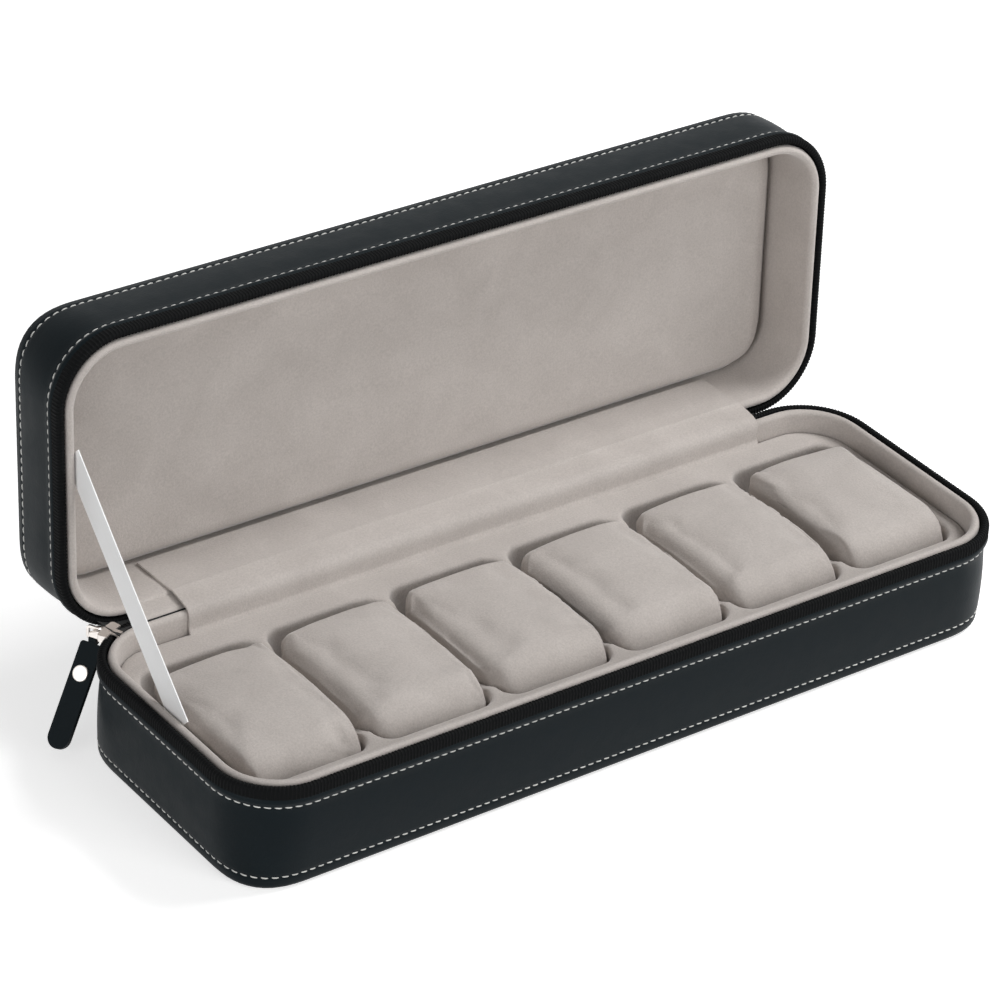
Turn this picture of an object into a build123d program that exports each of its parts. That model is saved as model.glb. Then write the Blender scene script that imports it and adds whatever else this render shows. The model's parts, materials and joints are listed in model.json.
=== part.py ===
from build123d import *
import os
from dataclasses import dataclass
from math import cos, degrees, radians, sin

# Zip-up watch display case, standing open.
# X runs along the case, Y to the rear, Z up. The origin is the middle of the underside.
# Base and lid are built alike, each downwards from its own rim plane, where the zip closes.
# "Inset" is a distance inwards from the outer face, "depth" a distance into a half from its rim.

# Outside of the case
case_length = 320.0
case_width = 107.0
corner_radius = 23.7
base_depth = 41.1
lid_depth = 33.0
edge_round = 3.0

# Wall and floor layers, from the outside in
leather = 1.2
wall_board = 1.8
wall_lining = 2.0
end_board = 2.2
floor_lining = 1.0

# Where each wall layer stops short of the rim
leather_rim_gap = 4.0
board_rim_gap = 4.2
lining_rim_gap = 0.3
lining_rim_round = 0.9

# Zip
tape_thickness = 0.6
tape_depth = 10.0
coil_thickness = 1.6
coil_rim_gap = 0.6
coil_height = 2.4
zip_end_from_corner = 8.3

# Hinge of the lid: an axis along X, behind the rear wall and below the rim
lid_angle = 93.2
hinge_behind = 1.1
hinge_below = 3.8

# Pocket tray and pillows
pillow_count = 6
divider = 4.0
tray_border_end = 6.1
tray_border_front = 10.2
tray_border_rear = 12.2
pocket_corner = 7.0
tray_below_rim = 9.6
tray_clearance = 0.3
divider_dip = 7.0
pillow_side_clearance = 0.5
pillow_front_clearance = 1.5
pillow_rear_gap = 7.5
pillow_below_rim = 2.4
pillow_crown = 1.8
pillow_front_round = 14.0
pillow_rear_round = 7.0
pillow_foot_round = 4.0
pillow_edge_round = 6.0
pillow_edge_turns = (12, 40, 66, 90)
pillow_side_draw = 0.7
pillow_foot_clearance = 0.3
pillow_cloth = 1.0
core_clearance = 0.2

# Padded panel in the lid
panel_gap = 1.0
card_thickness = 1.0
panel_thickness = 6.2
panel_side_bulge = 0.8
panel_edge_round = 2.6
panel_edge_turns = (0, 20, 40, 60, 75, 90)

# Leather spine and velvet flap over the hinge
spine_fold_round = 0.5
flap_thickness = 0.8
flap_left_from_corner = 17.3
flap_right_from_corner = 10.3
flap_tray_gap = 0.8
flap_bend = 2.0
soft_clearance = 0.3

# Ribbon that stays the lid
ribbon_width = 11.0
ribbon_thickness = 0.4
ribbon_base_y = -2.8
ribbon_base_depth = 3.1
ribbon_lid_y = -13.1
ribbon_lid_depth = 3.9

# Zip slider, parked where the zip opens on the rear left corner
park_angle = 26.0
slider_length = 8.6
slider_clip_length = 3.4
slider_corner = 1.0
slider_clearance = 0.3
slider_web = 0.5
slider_inner_plate = 0.6
slider_outer_plate = 3.7
slider_skirt = 0.9
slider_skirt_depth = 5.2
slider_body_depth = 3.8
slider_inner_depth = 3.6
bridge_stand_off = 3.4
bridge_radius = 0.7
bridge_depth = 2.6
post_thickness = 1.3
post_spacing = 5.1
post_depth = 3.1

# Pull: wire link, leather tab and its rivet
link_wire = 1.2
link_width = 3.8
link_length = 3.2
link_corner = 0.5
link_play = 0.3
tab_lean = 36.8
tab_leather = 0.9
tab_layers = 2
tab_loop_play = 0.2
tab_width = 8.2
tab_length = 38.8
tab_start = 1.6
tab_shoulder = 1.2
rivet_from_link = 12.4
rivet_diameter = 5.8
rivet_cap = 0.9
rivet_post = 2.4
rivet_round = 0.6

# Worked out
wall = leather + wall_board + wall_lining
wall_rear = case_width / 2
floor_top = leather + end_board + floor_lining
tray_top = base_depth - tray_below_rim
corner_x = case_length / 2 - corner_radius
corner_y = case_width / 2 - corner_radius
hinge_y = wall_rear + hinge_behind
hinge_z = base_depth - hinge_below
zip_end = corner_x - zip_end_from_corner


def turned(y, z):
    """A point of the closed lid, in Y and Z, swung about the hinge to the open lid."""
    turn = radians(lid_angle)
    dy = y - hinge_y
    dz = z - hinge_z
    return hinge_y + dy * cos(turn) + dz * sin(turn), hinge_z - dy * sin(turn) + dz * cos(turn)


@dataclass
class Half:
    """One half of the case: its rim plane, which way its depth runs, and its sizes."""

    name: str
    end: str
    rim: Plane
    way: int
    depth: float

    def level(self, depth):
        return self.rim.offset(self.way * depth)

    def point(self, y, depth):
        """Y and Z of a point of this half, given across the case and into its depth."""
        place = self.rim.from_local_coords((0, y, self.way * depth))
        return place.Y, place.Z


lid_normal = (0, sin(radians(lid_angle)), cos(radians(lid_angle)))
base = Half("base", "bottom", Plane.XY.offset(base_depth), -1, base_depth)
lid = Half(
    "lid",
    "top",
    Plane(origin=(0, *turned(0, base_depth)), x_dir=(1, 0, 0), z_dir=lid_normal),
    1,
    lid_depth,
)
halves = (base, lid)
pieces = []


def keep(piece, name):
    """Label a finished piece and put it on the list to be written."""
    piece.part.label = name
    pieces.append(piece.part)


def outline(half, depth, inset, hole=None):
    """The case's rounded rectangle at a depth, drawn in by an inset, with another cut out."""
    with BuildSketch(half.level(depth)) as plan:
        RectangleRounded(case_length - 2 * inset, case_width - 2 * inset, corner_radius - inset)
        if hole is not None:
            RectangleRounded(
                case_length - 2 * hole,
                case_width - 2 * hole,
                corner_radius - hole,
                mode=Mode.SUBTRACT,
            )
    return plan.sketch


def band(half, outer, inner, start, stop, mode=Mode.ADD):
    """A ring of wall between two insets and two depths."""
    extrude(outline(half, start, outer, inner), amount=half.way * (stop - start), mode=mode)


def plate(half, inset, start, stop, mode=Mode.ADD):
    """A flat plate in the case's outline, between two depths."""
    extrude(outline(half, start, inset), amount=half.way * (stop - start), mode=mode)


def rear_window(half, start, stop, mode=Mode.SUBTRACT):
    """The middle of the rear wall, where the zip is left out for the spine."""
    with BuildSketch(half.level(start)) as window:
        with Locations((0, wall_rear)):
            Rectangle(2 * zip_end, 2 * wall)
    extrude(window.sketch, amount=half.way * (stop - start), mode=mode)


# Shells: leather outside, board inside it, padded lining within, zip tape and coil on the rim
board_inset = leather
lining_inset = leather + wall_board
coil_stop = coil_rim_gap + coil_height

for half in halves:
    seam = half.depth - edge_round
    board_end = half.depth - leather
    lining_end = board_end - end_board

    with BuildPart() as side_leather:
        band(half, 0, leather, leather_rim_gap, seam)
    keep(side_leather, f"{half.name}_side_leather")

    with BuildPart() as end_leather:
        plate(half, 0, seam, half.depth)
        outer_face = end_leather.faces().sort_by(Axis(half.rim.origin, half.rim.z_dir * half.way))[-1]
        fillet(outer_face.edges(), edge_round - 0.01)
        plate(half, leather, seam, board_end, mode=Mode.SUBTRACT)
    keep(end_leather, f"{half.name}_{half.end}_leather")

    with BuildPart() as zip_tape:
        band(half, leather, leather + tape_thickness, coil_stop, tape_depth)
        rear_window(half, 0, tape_depth)
    keep(zip_tape, f"{half.name}_zip_tape")

    with BuildPart() as zip_coil:
        band(half, 0, coil_thickness, coil_rim_gap, coil_stop)
        rear_window(half, 0, coil_stop)
    keep(zip_coil, f"{half.name}_zip_coil")

    with BuildPart() as tape_pocket:
        band(half, leather, leather + tape_thickness, board_rim_gap, tape_depth)
        rear_window(half, 0, tape_depth)

    with BuildPart() as side_board:
        band(half, board_inset, lining_inset, board_rim_gap, board_end)
        add(tape_pocket.part, mode=Mode.SUBTRACT)
    keep(side_board, f"{half.name}_wall_board")

    with BuildPart() as flat_board:
        plate(half, lining_inset, lining_end, board_end)
    keep(flat_board, f"{half.name}_{half.end}_board")

    with BuildPart() as side_lining:
        band(half, lining_inset, wall, lining_rim_gap, lining_end)
        rim_face = side_lining.faces().sort_by(Axis(half.rim.origin, half.rim.z_dir * half.way))[0]
        fillet(rim_face.edges(), lining_rim_round)
    keep(side_lining, f"{half.name}_wall_lining")

# Floor lining, and the flocked tray with a pocket for each pillow
tray_inset = wall + tray_clearance
pocket_row = case_length - 2 * (tray_inset + tray_border_end)
pocket_pitch = (pocket_row + divider) / pillow_count
pocket_width = pocket_pitch - divider
pocket_xs = [(n - (pillow_count - 1) / 2) * pocket_pitch for n in range(pillow_count)]
pocket_front = case_width / 2 - tray_inset - tray_border_front
pocket_rear = case_width / 2 - tray_inset - tray_border_rear
pocket_length = pocket_front + pocket_rear
pocket_centre = (pocket_rear - pocket_front) / 2

with BuildPart() as base_floor_lining:
    plate(base, wall, base_depth - floor_top, base_depth - floor_top + floor_lining)
keep(base_floor_lining, "base_floor_lining")

with BuildPart() as pocket_tray:
    plate(base, tray_inset, tray_below_rim, base_depth - floor_top)
    with BuildSketch(Plane.XY.offset(floor_top)) as pockets:
        with Locations(*[(x, pocket_centre) for x in pocket_xs]):
            RectangleRounded(pocket_width, pocket_length, pocket_corner)
    extrude(pockets.sketch, amount=tray_top - floor_top, mode=Mode.SUBTRACT)
    with BuildSketch(Plane.YZ.offset(pocket_xs[0])) as dip:
        with BuildLine():
            ThreePointArc(
                (pocket_rear - pocket_corner, tray_top),
                (pocket_centre, tray_top - divider_dip),
                (pocket_corner - pocket_front, tray_top),
            )
            Line((pocket_corner - pocket_front, tray_top), (pocket_rear - pocket_corner, tray_top))
        make_face()
    extrude(dip.sketch, amount=pocket_xs[-1] - pocket_xs[0], mode=Mode.SUBTRACT)
keep(pocket_tray, "pocket_tray")

# Pillows: a velvet cover round a foam core, crowned on top and drawn in at both ends
pillow_width = pocket_width - 2 * pillow_side_clearance
pillow_front = pillow_front_clearance - pocket_front
pillow_length = pocket_length - pillow_front_clearance - pillow_rear_gap
pillow_foot = floor_top + pillow_foot_clearance
pillow_height = base_depth - pillow_below_rim - pillow_foot


def pillow_section(x, inset):
    """A pillow's side outline at one place along X, drawn in all round by an inset."""
    front = pillow_front + inset
    rear = pillow_front + pillow_length - inset
    foot = pillow_foot + inset
    top = pillow_foot + pillow_height - inset
    with BuildSketch(Plane.YZ.offset(x)) as side:
        with BuildLine():
            shoulder = top - pillow_crown
            crown = ThreePointArc((front, shoulder), ((front + rear) / 2, top), (rear, shoulder))
            Line(crown @ 1, (rear, foot))
            Line((rear, foot), (front, foot))
            Line((front, foot), crown @ 0)
        make_face()
        fillet(side.vertices().group_by(Axis.Y)[0], pillow_foot_round)
        fillet(side.vertices().sort_by_distance((front, shoulder))[0], pillow_front_round - inset / 2)
        fillet(side.vertices().sort_by_distance((rear, shoulder))[0], pillow_rear_round - inset / 2)
    return side.sketch


def pillow_body(x, shrink):
    """The pillow's solid about x, made smaller all round by shrink."""
    half_width = pillow_width / 2 - shrink
    steps = []
    for turn in pillow_edge_turns:
        across = half_width - pillow_edge_round * (1 - cos(radians(turn)))
        drawn = pillow_side_draw + pillow_edge_round * (1 - sin(radians(turn)))
        steps.append((across, drawn))
    left = [(-across, drawn) for across, drawn in steps]
    right = reversed(steps)
    sections = [*left, (0, 0), *right]
    return loft([pillow_section(x + across, drawn + shrink) for across, drawn in sections])


for number, x in enumerate(pocket_xs, 1):
    with BuildPart() as hollow:
        pillow_body(x, pillow_cloth)

    with BuildPart() as cover:
        pillow_body(x, 0)
        add(hollow.part, mode=Mode.SUBTRACT)
    keep(cover, f"pillow_{number}_cover")

    with BuildPart() as core:
        pillow_body(x, pillow_cloth + core_clearance)
    keep(core, f"pillow_{number}_core")

# Padded panel in the lid: a stiff card under a crowned velvet pad
panel_inset = wall + panel_gap
card_end = lid_depth - leather - end_board
pad_end = card_end - card_thickness

with BuildPart() as lid_panel_card:
    plate(lid, panel_inset, pad_end, card_end)
keep(lid_panel_card, "lid_panel_card")

with BuildPart() as lid_padded_panel:
    pad_steps = [(0, panel_side_bulge)]
    for turn in panel_edge_turns:
        height = panel_thickness - panel_edge_round * (1 - sin(radians(turn)))
        pad_steps.append((height, panel_edge_round * (1 - cos(radians(turn)))))
    loft([outline(lid, pad_end - height, panel_inset + inset) for height, inset in pad_steps], ruled=True)
keep(lid_padded_panel, "lid_padded_panel")

# Leather spine between the two rear edges of the leather
with BuildPart() as spine_leather:
    base_outer = base.point(wall_rear, leather_rim_gap)
    base_inner = base.point(wall_rear - leather, leather_rim_gap)
    lid_outer = lid.point(wall_rear, leather_rim_gap)
    lid_inner = lid.point(wall_rear - leather, leather_rim_gap)
    with BuildSketch(Plane.YZ.offset(-zip_end)) as spine_profile:
        with BuildLine():
            Polyline(
                base_inner,
                base_outer,
                (base_outer[0], base_outer[1] + spine_fold_round),
                lid_outer,
                lid_inner,
                (base_inner[0], lid_inner[1]),
                close=True,
            )
        make_face()
        fillet(spine_profile.vertices().sort_by_distance((base_inner[0], lid_inner[1]))[0], leather)
    extrude(spine_profile.sketch, amount=2 * zip_end)
keep(spine_leather, "spine_leather")

# Velvet flap: up the base's rear lining, over both rims and along the lid's lining to the panel
flap_left = flap_left_from_corner - corner_x
flap_length = corner_x - flap_right_from_corner - flap_left

with BuildPart() as hinge_flap:
    reach = wall_rear - wall - soft_clearance - flap_thickness / 2
    over_rim = soft_clearance + flap_thickness / 2 - lining_rim_gap
    lid_turn_depth = lining_rim_gap
    with BuildSketch(Plane.YZ.offset(flap_left)) as flap_profile:
        with BuildLine() as flap_line:
            FilletPolyline(
                base.point(reach, tray_below_rim - flap_tray_gap),
                base.point(reach, -over_rim),
                lid.point(reach, lid_turn_depth),
                lid.point(reach, pad_end - panel_thickness - soft_clearance),
                radius=flap_bend,
            )
        trace(flap_line.wires(), line_width=flap_thickness)
    extrude(flap_profile.sketch, amount=flap_length)
keep(hinge_flap, "hinge_velvet_flap")

# Ribbon stay, flat beside the left walls' linings
with BuildPart() as stay_ribbon:
    low_end = Vector(*base.point(ribbon_base_y, ribbon_base_depth))
    high_end = Vector(*lid.point(ribbon_lid_y, ribbon_lid_depth))
    run = high_end - low_end
    ribbon_middle = (low_end + high_end) / 2
    ribbon_tilt = Vector(1, 0).get_signed_angle(run, Vector(0, 0, 1))
    ribbon_side = wall - case_length / 2 + soft_clearance
    with BuildSketch(Plane.YZ.offset(ribbon_side)) as ribbon_shape:
        with Locations(Location((ribbon_middle.X, ribbon_middle.Y), ribbon_tilt)):
            Rectangle(run.length, ribbon_width)
    extrude(ribbon_shape.sketch, amount=ribbon_thickness)
keep(stay_ribbon, "stay_ribbon")

# Zip slider, riding on the base's coil round the rear left corner
corner_axis = Axis((-corner_x, corner_y, 0), (0, 0, 1))
park = radians(park_angle)
outward = Vector(-sin(park), cos(park), 0)
along = Vector(-cos(park), -sin(park), 0)


def corner_point(stand_off, depth, forward=0):
    """A point beside the corner, by its distance out from the leather, below the rim and along."""
    place = Vector(-corner_x, corner_y, base_depth - depth)
    return place + outward * (corner_radius + stand_off) + along * forward


def radial_plane(turn):
    """Upright plane through the corner's centre, turned from the parked place, drawn by (out, up)."""
    angle = park + radians(turn)
    return Plane(
        origin=(-corner_x, corner_y, base_depth),
        x_dir=(-sin(angle), cos(angle), 0),
        z_dir=(cos(angle), sin(angle), 0),
    )


slider_sweep = degrees(slider_length / corner_radius)
clip_sweep = degrees(slider_clip_length / corner_radius)
web_top = slider_web / 2
inner_face = coil_thickness + slider_clearance + (leather + tape_thickness - coil_thickness)
outer_out = slider_clearance + slider_outer_plate
bridge_out = outer_out + bridge_stand_off
post_root = outer_out - slider_outer_plate / 2

with BuildPart() as slider_body:
    with BuildSketch(radial_plane(-slider_sweep / 2)) as slider_section:
        with BuildLine():
            Polyline(
                (corner_radius + slider_clearance, web_top),
                (corner_radius + outer_out, web_top),
                (corner_radius + outer_out, web_top - slider_body_depth / 2),
                (corner_radius + slider_clearance + slider_skirt, web_top - slider_body_depth),
                (corner_radius + slider_clearance + slider_skirt, -slider_skirt_depth),
                (corner_radius + slider_clearance, -slider_skirt_depth),
                close=True,
            )
        make_face()
    revolve(slider_section.sketch, axis=corner_axis, revolution_arc=slider_sweep)
    upright = slider_body.edges().filter_by(GeomType.LINE).filter_by(Axis.Z)
    fillet(upright.sort_by_distance(corner_point(outer_out, 0))[:2], slider_corner)
    with BuildSketch(radial_plane(-clip_sweep / 2)) as clip_section:
        with BuildLine():
            Polyline(
                (corner_radius + slider_clearance + slider_skirt, web_top),
                (corner_radius - inner_face - slider_inner_plate, web_top),
                (corner_radius - inner_face - slider_inner_plate, -slider_inner_depth),
                (corner_radius - inner_face, -slider_inner_depth),
                (corner_radius - inner_face, web_top - slider_web),
                (corner_radius + slider_clearance + slider_skirt, web_top - slider_web),
                close=True,
            )
        make_face()
    revolve(clip_section.sketch, axis=corner_axis, revolution_arc=clip_sweep)
    for side in (-1, 1):
        post_middle = side * (post_spacing - post_thickness) / 2
        post_plane = Plane(
            origin=corner_point(0, 0, post_middle - post_thickness / 2),
            x_dir=outward,
            z_dir=along,
        )
        with BuildSketch(post_plane) as post:
            with BuildLine():
                Polyline(
                    (post_root, 0),
                    (outer_out, 0),
                    (bridge_out + bridge_radius, bridge_depth - bridge_radius),
                    (bridge_out + bridge_radius, bridge_depth + bridge_radius),
                    (post_root, post_depth),
                    close=True,
                )
            make_face()
        extrude(post.sketch, amount=post_thickness)
    with BuildSketch(
        Plane(
            origin=corner_point(bridge_out, bridge_depth, -post_spacing / 2 + post_thickness / 2),
            x_dir=outward,
            z_dir=along,
        )
    ) as bridge:
        Circle(bridge_radius)
    extrude(bridge.sketch, amount=post_spacing - post_thickness)
keep(slider_body, "zip_slider_body")

# Wire link, hanging on the slider's bridge in the upright plane across the zip
link_top = bridge_depth - bridge_radius - link_play
link_bar_depth = link_top + link_length + link_wire / 2
link_centre = corner_point(bridge_out, link_top + link_length / 2, -link_wire / 2)

with BuildPart() as pull_link:
    with BuildSketch(Plane(origin=link_centre, x_dir=outward, z_dir=along)) as link_shape:
        RectangleRounded(
            link_width + 2 * link_wire, link_length + 2 * link_wire, link_corner + link_wire
        )
        RectangleRounded(link_width, link_length, link_corner, mode=Mode.SUBTRACT)
    extrude(link_shape.sketch, amount=link_wire)
    fillet(pull_link.edges().filter_by(GeomType.LINE).filter_by(Axis.Z), link_wire / 4)
keep(pull_link, "pull_link")

# Leather tab, folded round the link's lower bar and riveted to itself
bar = corner_point(bridge_out, link_bar_depth)
lean = radians(tab_lean)
tab_down = along * sin(lean) - Vector(0, 0, 1) * cos(lean)
tab_face = outward.cross(tab_down)
tab_body_thickness = tab_layers * tab_leather
loop_inner = link_wire / 2 + tab_loop_play
tab_neck = link_width - 2 * link_corner
tab_body_length = tab_length - tab_start
rivet_hole = rivet_post / 2

with BuildPart() as pull_tab:
    with BuildSketch(Plane(origin=bar, x_dir=tab_down, z_dir=outward).offset(-tab_neck / 2)) as loop:
        Circle(loop_inner + tab_leather)
        with Locations((tab_start, 0)):
            Rectangle(tab_start, tab_body_thickness)
        Circle(loop_inner, mode=Mode.SUBTRACT)
    extrude(loop.sketch, amount=tab_neck)
    face_plane = Plane(origin=bar, x_dir=tab_down, z_dir=tab_face)
    with BuildSketch(face_plane.offset(-tab_body_thickness / 2)) as tab_outline:
        with Locations((tab_start + tab_body_length / 2, 0)):
            Rectangle(tab_body_length, tab_width)
        fillet(tab_outline.vertices().group_by(Axis.X)[0], tab_shoulder)
        fillet(tab_outline.vertices().group_by(Axis.X)[-1], tab_width / 2 - 0.01)
        with Locations((rivet_from_link, 0)):
            Circle(rivet_hole, mode=Mode.SUBTRACT)
    extrude(tab_outline.sketch, amount=tab_body_thickness)
keep(pull_tab, "pull_tab")

with BuildPart() as tab_rivet:
    with BuildSketch(face_plane.offset(-tab_body_thickness / 2)) as post_shape:
        with Locations((rivet_from_link, 0)):
            Circle(rivet_hole)
    extrude(post_shape.sketch, amount=tab_body_thickness)
    for side in (-1, 1):
        with BuildSketch(face_plane.offset(side * tab_body_thickness / 2)) as cap_shape:
            with Locations((rivet_from_link, 0)):
                Circle(rivet_diameter / 2)
        extrude(cap_shape.sketch, amount=side * rivet_cap)
    caps = tab_rivet.faces().sort_by(Axis(bar, tab_face))
    fillet([*caps[0].edges(), *caps[-1].edges()], rivet_round)
keep(tab_rivet, "tab_rivet")

os.makedirs("parts", exist_ok=True)
for piece in pieces:
    export_step(piece, f"parts/{piece.label}.step")
    box = piece.bounding_box()
    sides = f"{box.size.X:.1f} x {box.size.Y:.1f} x {box.size.Z:.1f} mm"
    print(f"{piece.label}: {piece.volume:.0f} mm3, {sides}")
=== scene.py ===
import json
import math
from dataclasses import dataclass

import bmesh
import bpy
from bpy.props import FloatProperty, FloatVectorProperty, PointerProperty
from mathutils import Matrix, Vector, noise


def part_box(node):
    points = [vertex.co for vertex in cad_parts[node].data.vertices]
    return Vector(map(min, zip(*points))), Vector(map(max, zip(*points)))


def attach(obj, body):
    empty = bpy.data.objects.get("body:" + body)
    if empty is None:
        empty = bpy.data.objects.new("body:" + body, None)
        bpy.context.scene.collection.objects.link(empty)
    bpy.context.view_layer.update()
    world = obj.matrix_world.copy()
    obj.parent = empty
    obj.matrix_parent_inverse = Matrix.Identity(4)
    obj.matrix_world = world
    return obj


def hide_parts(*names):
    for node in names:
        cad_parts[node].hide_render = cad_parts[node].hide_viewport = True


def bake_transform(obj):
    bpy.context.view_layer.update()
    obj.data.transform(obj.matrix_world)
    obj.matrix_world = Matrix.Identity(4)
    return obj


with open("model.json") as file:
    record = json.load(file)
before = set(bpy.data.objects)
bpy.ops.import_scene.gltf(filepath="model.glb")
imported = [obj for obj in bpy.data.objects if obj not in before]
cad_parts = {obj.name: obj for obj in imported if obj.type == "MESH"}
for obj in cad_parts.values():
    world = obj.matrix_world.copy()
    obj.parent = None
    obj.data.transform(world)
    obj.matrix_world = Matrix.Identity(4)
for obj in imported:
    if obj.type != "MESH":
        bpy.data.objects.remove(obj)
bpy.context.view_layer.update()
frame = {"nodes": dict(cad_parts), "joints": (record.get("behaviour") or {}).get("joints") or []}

bl_info = {
    "name": "Watch Display Case",
    "version": (1, 0, 0),
    "blender": (4, 5, 0),
    "location": "View3D > Sidebar > Watch Case",
    "description": "Dresses a zip-up watch case in leatherette, velvet, zip, thread and nickel",
    "category": "Object",
}

MM = 0.001


def joint_named(name):
    """The record's joint of that name."""
    return next(joint for joint in frame["joints"] if joint["name"] == name)


# The case as the frame gives it: X along it, Y to the rear, Z up, in metres
HINGE = Vector(joint_named("lid_hinge")["pos_m"])
LID_SWING = math.radians(joint_named("lid_hinge")["range_deg"][0])
ZIP_CORNER = Vector(joint_named("zip_travel")["pos_m"])
RIM = ZIP_CORNER.z
HALF_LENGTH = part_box("base_side_leather")[1].x
HALF_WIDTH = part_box("base_side_leather")[1].y
CORNER_RADIUS = HALF_WIDTH - ZIP_CORNER.y
LEATHER_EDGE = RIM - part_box("base_side_leather")[1].z
LINING_OUTER = HALF_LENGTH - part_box("base_wall_lining")[1].x
WALL = HALF_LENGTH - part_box("base_floor_lining")[1].x
FLOOR_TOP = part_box("base_floor_lining")[1].z
TRAY_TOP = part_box("pocket_tray")[1].z
SPINE_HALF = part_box("spine_leather")[1].x
PILLOWS = range(1, 7)

OPEN_LID = (
    Matrix.Translation(HINGE) @ Matrix.Rotation(LID_SWING, 4, "X") @ Matrix.Translation(-HINGE)
)
CLOSE_LID = OPEN_LID.inverted()


def closed_heights(node):
    """Lowest and highest point of a lid node, measured as if the lid were closed."""
    heights = [(CLOSE_LID @ vertex.co).z for vertex in frame["nodes"][node].data.vertices]
    return min(heights), max(heights)


@dataclass
class Half:
    """One half of the case. Depth runs into it from its rim, where the zip closes."""

    name: str
    end: str
    depth: float
    way: int
    swing: Matrix

    def place(self, x, y, depth):
        """A point of this half, in the frame."""
        return self.swing @ Vector((x, y, RIM + self.way * depth))


BASE = Half("base", "bottom", RIM, -1, Matrix.Identity(4))
LID = Half("lid", "top", closed_heights("lid_top_leather")[1] - RIM, 1, OPEN_LID)
HALVES = (BASE, LID)


def linear(hex_colour):
    """An sRGB hex colour as the linear values that the shaders use."""
    channels = [int(hex_colour[place:place + 2], 16) / 255 for place in (1, 3, 5)]
    return tuple(
        channel / 12.92 if channel <= 0.04045 else ((channel + 0.055) / 1.055) ** 2.4
        for channel in channels
    )


def length_property(name, description, millimetres):
    return FloatProperty(name=name, description=description, default=millimetres * MM, unit="LENGTH")


def colour_property(name, description, hex_colour):
    return FloatVectorProperty(
        name=name, description=description, default=linear(hex_colour), size=3, subtype="COLOR",
        min=0.0, max=1.0,
    )


class WatchCaseSizes(bpy.types.PropertyGroup):
    """Sizes of what the frame leaves to the dressing"""

    bow: length_property("Side bow", "How far the leather sides swell outwards", 0.9)
    draft: length_property("Side draft", "How far the sides draw in towards top and bottom", 0.5)
    corner_swell: length_property("Corner swell", "How much fuller the corners are far from the zip", 1.8)
    end_round: length_property("End rounding", "Radius of the edge round the top and bottom", 3.0)
    leather: length_property("Leather", "Thickness of the leatherette and its backing", 1.2)
    rim_row: length_property("Rim row", "Depth of the stitch row next to the zip", 8.1)
    outer_row: length_property("Outer row", "Height of the other stitch row above top or bottom", 5.5)
    stitch_pitch: length_property("Stitch pitch", "From one stitch to the next", 3.3)
    stitch_length: length_property("Stitch length", "Length of one stitch", 2.35)
    thread: length_property("Thread", "Thickness of the sewing thread", 0.52)
    groove: length_property("Stitch groove", "How deep the thread pulls the leather in", 0.32)
    flare: length_property("Rim flare", "How far zip and leather edge stand out at the rim", 1.8)
    tooth_pitch: length_property("Tooth pitch", "From one coil tooth to the next", 1.25)
    tooth_wire: length_property("Tooth wire", "Thickness of the coil's nylon", 0.66)
    pillow_left_edge: length_property("Pillow left edge", "Rounding across the pillow's left side", 6.0)
    pillow_right_edge: length_property("Pillow right edge", "Rounding across its right side", 2.6)
    pillow_puff: length_property("Pillow puff", "How far a pillow's faces may swell", 1.2)
    panel_edge: length_property("Panel edge", "Rounding of the lid panel's edge", 2.6)
    panel_crown: length_property("Panel crown", "How far the lid panel swells in its middle", 0.9)
    flap_wave: length_property("Flap wave", "Height of the waves in the velvet flap", 0.5)


class WatchCaseColours(bpy.types.PropertyGroup):
    """Colours of the case's own finishes"""

    leatherette: colour_property("Leatherette", "Black with a little blue", "#0b1418")
    velvet: colour_property("Velvet", "Grey beige, lying nap", "#c3bcb7")
    velvet_brushed: colour_property("Brushed velvet", "Where the nap leans the other way", "#aaa39e")
    thread: colour_property("Thread", "Off-white sewing thread", "#dcdcd8")
    zip_black: colour_property("Zip", "Black tape and coil", "#08090a")
    ribbon: colour_property("Ribbon", "White satin", "#ffffff")
    nickel: colour_property("Nickel", "Warm plated nickel", "#efe9e4")
    board: colour_property("Board", "Dark fibre board", "#3a3733")
    foam: colour_property("Foam", "Cream foam", "#d8d2bf")
    floor: colour_property("Floor", "White paper", "#f4f4f4")


def sizes():
    return bpy.context.scene.watch_case_sizes


def colours():
    return bpy.context.scene.watch_case_colours


# Materials

def new_material(name):
    """A material of that name with only its output node and a principled shader, and that shader."""
    material = bpy.data.materials.new(name)
    material.use_nodes = True
    return material, material.node_tree.nodes["Principled BSDF"]


def add_node(material, kind, inputs=None, **settings):
    """Add a node with its settings. An input is a plain value, or a socket to link from."""
    node = material.node_tree.nodes.new(kind)
    for name, value in settings.items():
        setattr(node, name, value)
    fill_inputs(material, node, inputs or {})
    return node


def fill_inputs(material, node, inputs):
    for name, value in inputs.items():
        if isinstance(value, bpy.types.NodeSocket):
            material.node_tree.links.new(value, node.inputs[name])
        else:
            node.inputs[name].default_value = value


def per_size(size):
    """Texture scale, in patterns per metre, of a pattern that repeats at a real size."""
    return 1 / size


def rgba(colour, share=1.0):
    return (*[channel * share for channel in colour], 1.0)


def feed(material, shader, **inputs):
    """Fill the shader's inputs, each named with underscores for spaces."""
    fill_inputs(material, shader, {name.replace("_", " "): value for name, value in inputs.items()})


GRAIN_SIZE = 0.55 * MM
CREASE_SIZE = 9 * MM
BRUSH_SIZE = 22 * MM
TAPE_RIB = 0.7 * MM
# Pile fibres and satin threads are near 0.1 mm, too fine to show, so both are drawn coarser
PILE_SIZE = 0.7 * MM
SATIN_THREAD = 0.35 * MM
# The thread's twist is too fine to show too: it is drawn over ten times as coarse, as a slow shade
THREAD_TWIST = 0.8 * MM
TWIST_COARSER = 20
BOARD_FIBRE = 2.5 * MM
FOAM_CELL = 1.1 * MM
TUMBLE_MARK = 5 * MM


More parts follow.
